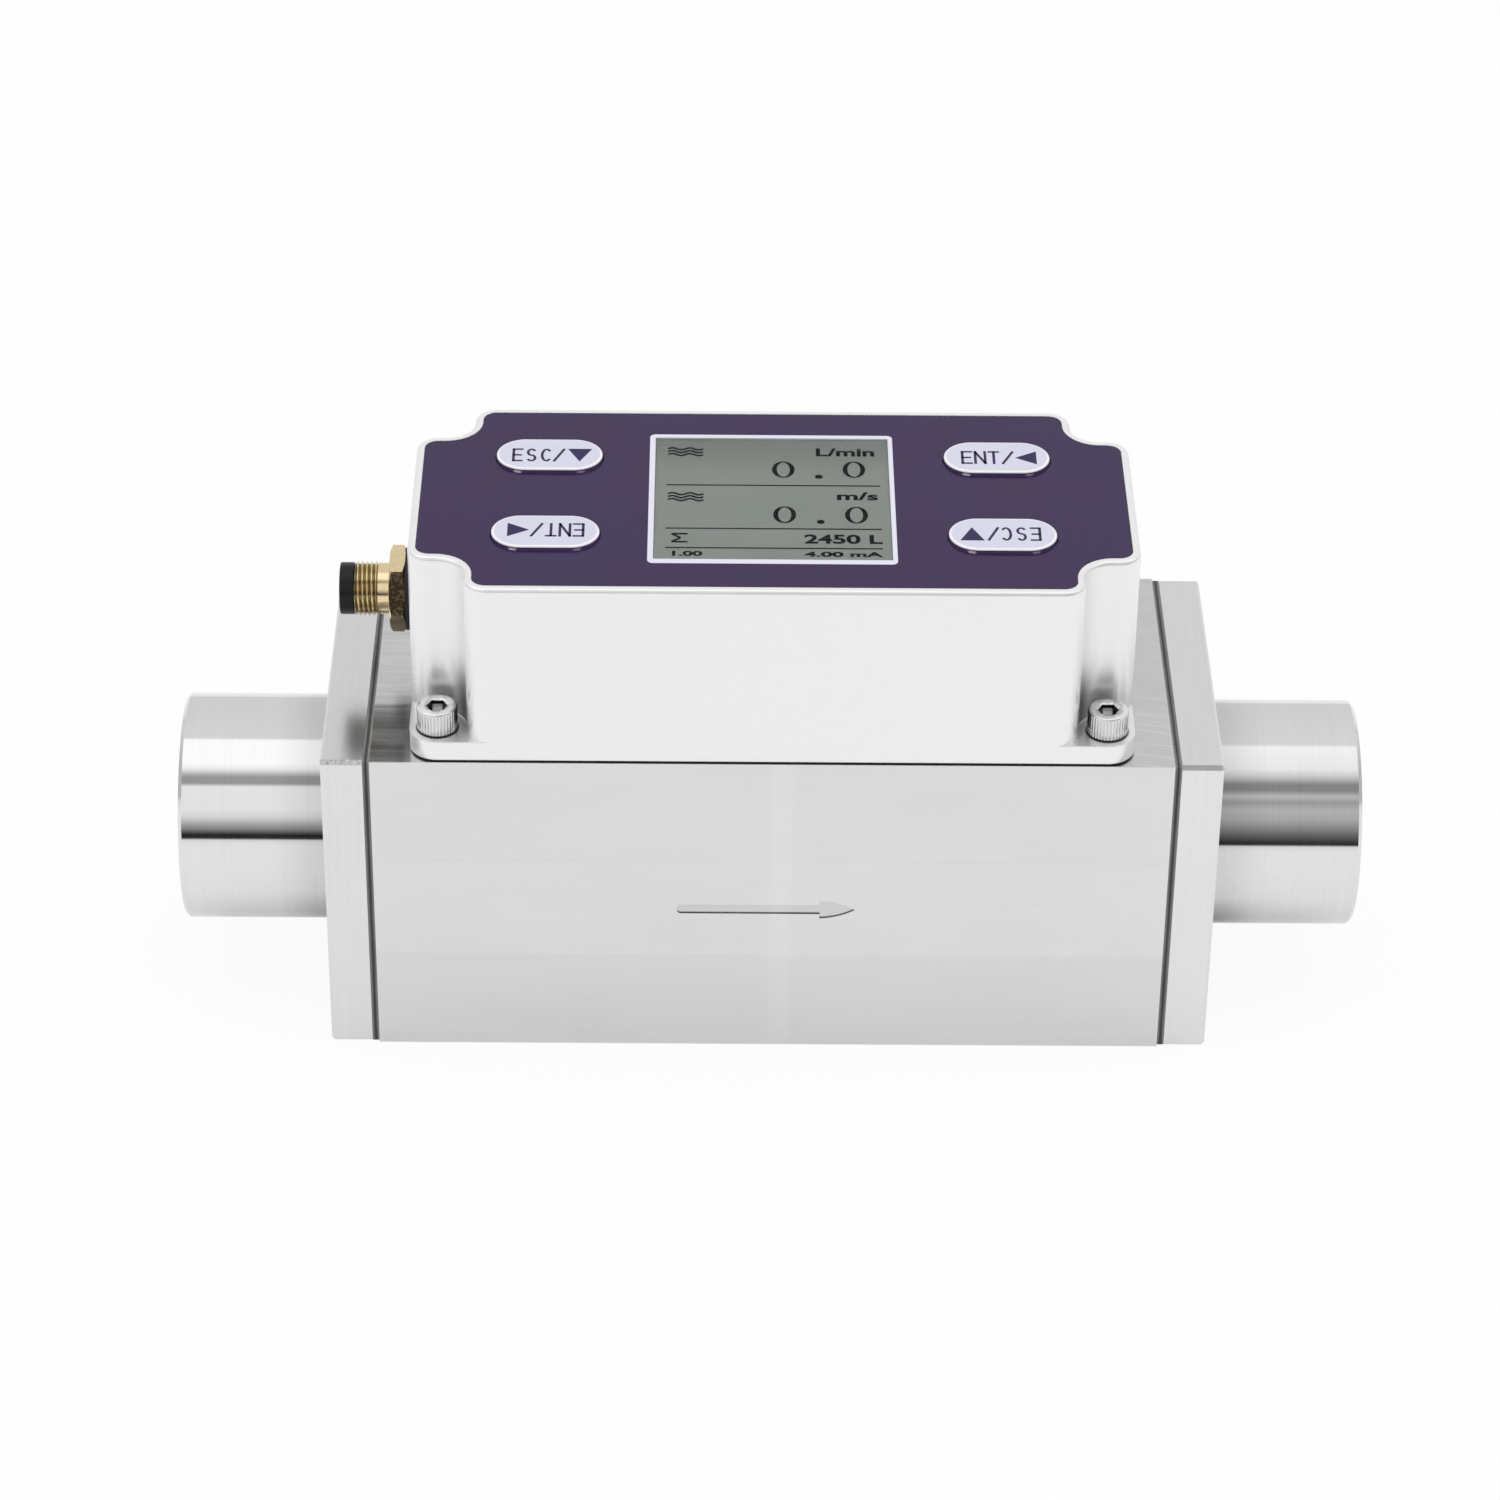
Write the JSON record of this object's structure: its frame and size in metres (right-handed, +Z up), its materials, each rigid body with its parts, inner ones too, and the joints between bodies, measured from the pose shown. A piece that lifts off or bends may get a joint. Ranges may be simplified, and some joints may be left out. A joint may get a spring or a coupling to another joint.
{
  "type": "gas flow meter",
  "caption": "Inline gas flow meter: square steel flow block with round threaded ends, and a silver case on top with a display, pill-shaped keys and a round cable connector.",
  "frame": {"origin": "middle of the block's underside, in the plane it stands on", "axes": "+X along the flow, from inlet to outlet; -Y is the front with the arrow; +Z up to the display"},
  "size_m": [0.259, 0.075, 0.1193],
  "materials": {
    "block_steel": "milled, with fine lengthwise lines",
    "fitting_steel": "turned and finely brushed",
    "seam_rubber": "dark, dull",
    "screen_steel": "perforated, satin",
    "straightener_grey": "satin",
    "carrier_dark": "moulded, dark",
    "case_silver": "bead blasted and clear coated",
    "screw_steel": "bright",
    "panel_purple": "glossy printed sheet",
    "window_clear": "clear, glossy",
    "display_grey": "reflective grey display",
    "holder_white": "moulded, white",
    "board_green": "solder mask",
    "chip_black": "moulded, black",
    "switch_black": "moulded, black",
    "key_lavender": "moulded, smooth",
    "capacitor_metal": "drawn can",
    "ribbon_white": "flat film",
    "brass": "turned brass",
    "insert_black": "moulded, black",
    "contact_gold": "gold plated",
    "lead_red": "wire insulation"
  },
  "bodies": {
    "housing": {"body_block": "block_steel", "inlet_fitting": "fitting_steel", "outlet_fitting": "fitting_steel", "inlet_gasket": "seam_rubber", "outlet_gasket": "seam_rubber", "inlet_bolts": "screw_steel", "outlet_bolts": "screw_steel", "flow_screen": "screen_steel", "spacer_ring": "screen_steel", "flow_straightener": "straightener_grey", "sensor_carrier": "carrier_dark", "sensor_oring": "seam_rubber", "sensor_board": "board_green", "sensor_chip": "chip_black", "sensor_screws": "screw_steel", "electronics_case": "case_silver", "case_gasket": "seam_rubber", "case_screws": "screw_steel", "front_panel": "panel_purple", "display_window": "window_clear", "lcd_cell": "display_grey", "lcd_holder": "holder_white", "backlight_panel": "holder_white", "display_board": "board_green", "key_switches": "switch_black", "board_spacers": "brass", "main_board": "board_green", "board_screws": "screw_steel", "controller_chip": "chip_black", "power_capacitors": "capacitor_metal", "power_inductor": "chip_black", "sensor_socket": "holder_white", "sensor_ribbon": "ribbon_white", "output_socket": "holder_white", "connector_leads": "lead_red", "connector_shell": "brass", "connector_insert": "insert_black", "connector_pins": "contact_gold", "connector_seal": "seam_rubber", "connector_lock_nut": "brass"},
    "key_1": {"key_1": "key_lavender", "switch_plunger_1": "switch_black"},
    "key_2": {"key_2": "key_lavender", "switch_plunger_2": "switch_black"},
    "key_3": {"key_3": "key_lavender", "switch_plunger_3": "switch_black"},
    "key_4": {"key_4": "key_lavender", "switch_plunger_4": "switch_black"}
  },
  "joints": [
    {"name": "key_1_press", "type": "slide", "parent": "housing", "child": "key_1", "axis": [0, 0, -1], "range_m": [0, 0.0005], "stiffness_N_per_m": 1500},
    {"name": "key_2_press", "type": "slide", "parent": "housing", "child": "key_2", "axis": [0, 0, -1], "range_m": [0, 0.0005], "stiffness_N_per_m": 1500},
    {"name": "key_3_press", "type": "slide", "parent": "housing", "child": "key_3", "axis": [0, 0, -1], "range_m": [0, 0.0005], "stiffness_N_per_m": 1500},
    {"name": "key_4_press", "type": "slide", "parent": "housing", "child": "key_4", "axis": [0, 0, -1], "range_m": [0, 0.0005], "stiffness_N_per_m": 1500}
  ]
}
